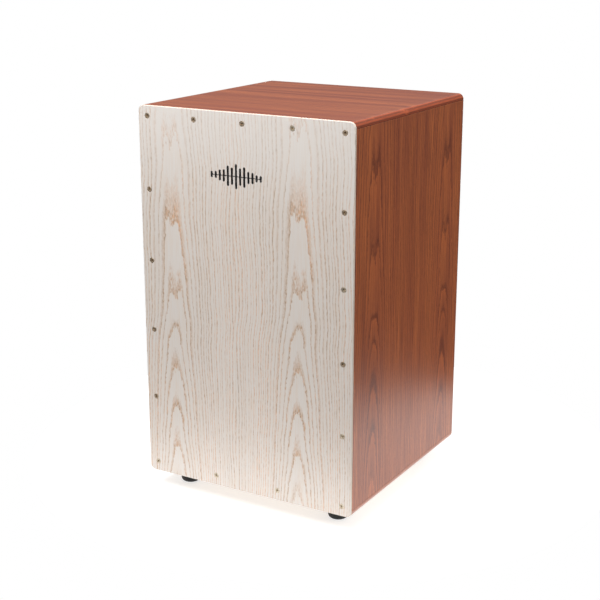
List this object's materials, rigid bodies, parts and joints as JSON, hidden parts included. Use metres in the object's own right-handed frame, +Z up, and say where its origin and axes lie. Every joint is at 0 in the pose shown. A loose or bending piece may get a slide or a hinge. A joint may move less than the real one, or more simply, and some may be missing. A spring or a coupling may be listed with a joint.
{
  "type": "cajon",
  "caption": "Box drum that the player sits on: plywood box with a thin screwed-on front plate to strike, a round sound hole at the back, snare wires inside and rubber feet.",
  "frame": {"origin": "middle of the footprint, on the surface that the feet stand on", "axes": "+Z up, the struck front plate faces -Y, the sound hole faces +Y, +X to the right as seen from the front"},
  "size_m": [0.3, 0.3, 0.502],
  "materials": {
    "ash_white": "whitewashed ash veneer, satin lacquer",
    "ash_stained": "red-brown stained ash veneer, satin lacquer",
    "batten_wood": "raw planed softwood",
    "beech": "raw planed beech",
    "screw_nickel": "nickel-plated, slightly warm",
    "zinc_steel": "zinc-plated",
    "snare_steel": "bright drawn steel",
    "foot_rubber": "moulded black rubber",
    "print_black": "printed black ink under lacquer"
  },
  "bodies": {
    "root": {"tapa": "ash_white", "tapa_screws": "screw_nickel", "emblem": "print_black", "top_panel": "ash_stained", "bottom_panel": "ash_stained", "left_panel": "ash_stained", "right_panel": "ash_stained", "back_panel": "ash_stained", "front_batten_top": "batten_wood", "rear_batten_top": "batten_wood", "front_batten_bottom": "batten_wood", "rear_batten_bottom": "batten_wood", "front_batten_left": "batten_wood", "rear_batten_left": "batten_wood", "front_batten_right": "batten_wood", "rear_batten_right": "batten_wood", "cleat_top_left": "batten_wood", "cleat_top_right": "batten_wood", "cleat_bottom_left": "batten_wood", "cleat_bottom_right": "batten_wood", "seat_brace": "batten_wood", "snare_bar": "beech", "snare_bar_screws": "zinc_steel", "snare_plate_left": "snare_steel", "snare_wires_left": "snare_steel", "snare_strip_left": "snare_steel", "snare_plate_right": "snare_steel", "snare_wires_right": "snare_steel", "snare_strip_right": "snare_steel", "snare_screws": "zinc_steel", "foot_front_left": "foot_rubber", "foot_front_right": "foot_rubber", "foot_rear_left": "foot_rubber", "foot_rear_right": "foot_rubber", "foot_washers": "zinc_steel", "foot_screws": "zinc_steel"}
  },
  "joints": []
}
